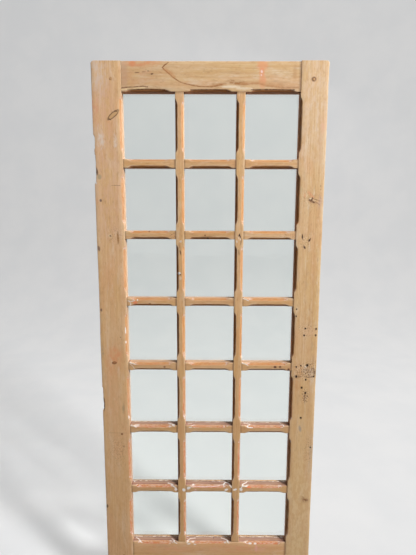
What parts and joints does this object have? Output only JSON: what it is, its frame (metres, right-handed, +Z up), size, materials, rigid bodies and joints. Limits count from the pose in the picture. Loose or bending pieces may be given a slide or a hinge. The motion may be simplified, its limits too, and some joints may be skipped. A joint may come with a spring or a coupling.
{
  "type": "glass panel door",
  "caption": "Old stripped pine door leaf: stiles and rails round a grid of small clear panes between stop-chamfered glazing bars, over a deep plain bottom rail.",
  "frame": {"origin": "middle of the leaf's bottom edge, halfway through its thickness", "axes": "+X to the right seen from the chamfered front, +Y from the front face to the back, +Z up"},
  "size_m": [0.762, 0.044, 1.981],
  "materials": {
    "frame_pine": "stripped old pine, dry and matte, with stains and knots",
    "bar_pine": "stripped old pine with orange chamfers and flecks of pale paint",
    "bead_pine": "stripped pine, matte",
    "peg_wood": "darker end grain",
    "window_glass": "clear, slightly wavy old sheet glass"
  },
  "bodies": {
    "root": {"left_stile": "frame_pine", "right_stile": "frame_pine", "top_rail": "frame_pine", "bottom_rail": "frame_pine", "left_upright_bar": "bar_pine", "right_upright_bar": "bar_pine", "cross_bar_1_left": "bar_pine", "cross_bar_1_middle": "bar_pine", "cross_bar_1_right": "bar_pine", "cross_bar_2_left": "bar_pine", "cross_bar_2_middle": "bar_pine", "cross_bar_2_right": "bar_pine", "cross_bar_3_left": "bar_pine", "cross_bar_3_middle": "bar_pine", "cross_bar_3_right": "bar_pine", "cross_bar_4_left": "bar_pine", "cross_bar_4_middle": "bar_pine", "cross_bar_4_right": "bar_pine", "cross_bar_5_left": "bar_pine", "cross_bar_5_middle": "bar_pine", "cross_bar_5_right": "bar_pine", "cross_bar_6_left": "bar_pine", "cross_bar_6_middle": "bar_pine", "cross_bar_6_right": "bar_pine", "pane_1_left": "window_glass", "pane_1_middle": "window_glass", "pane_1_right": "window_glass", "pane_2_left": "window_glass", "pane_2_middle": "window_glass", "pane_2_right": "window_glass", "pane_3_left": "window_glass", "pane_3_middle": "window_glass", "pane_3_right": "window_glass", "pane_4_left": "window_glass", "pane_4_middle": "window_glass", "pane_4_right": "window_glass", "pane_5_left": "window_glass", "pane_5_middle": "window_glass", "pane_5_right": "window_glass", "pane_6_left": "window_glass", "pane_6_middle": "window_glass", "pane_6_right": "window_glass", "pane_7_left": "window_glass", "pane_7_middle": "window_glass", "pane_7_right": "window_glass", "beads_row_1": "bead_pine", "beads_row_2": "bead_pine", "beads_row_3": "bead_pine", "beads_row_4": "bead_pine", "beads_row_5": "bead_pine", "beads_row_6": "bead_pine", "beads_row_7": "bead_pine", "tenon_pegs": "peg_wood", "tenon_wedges": "peg_wood"}
  },
  "joints": []
}
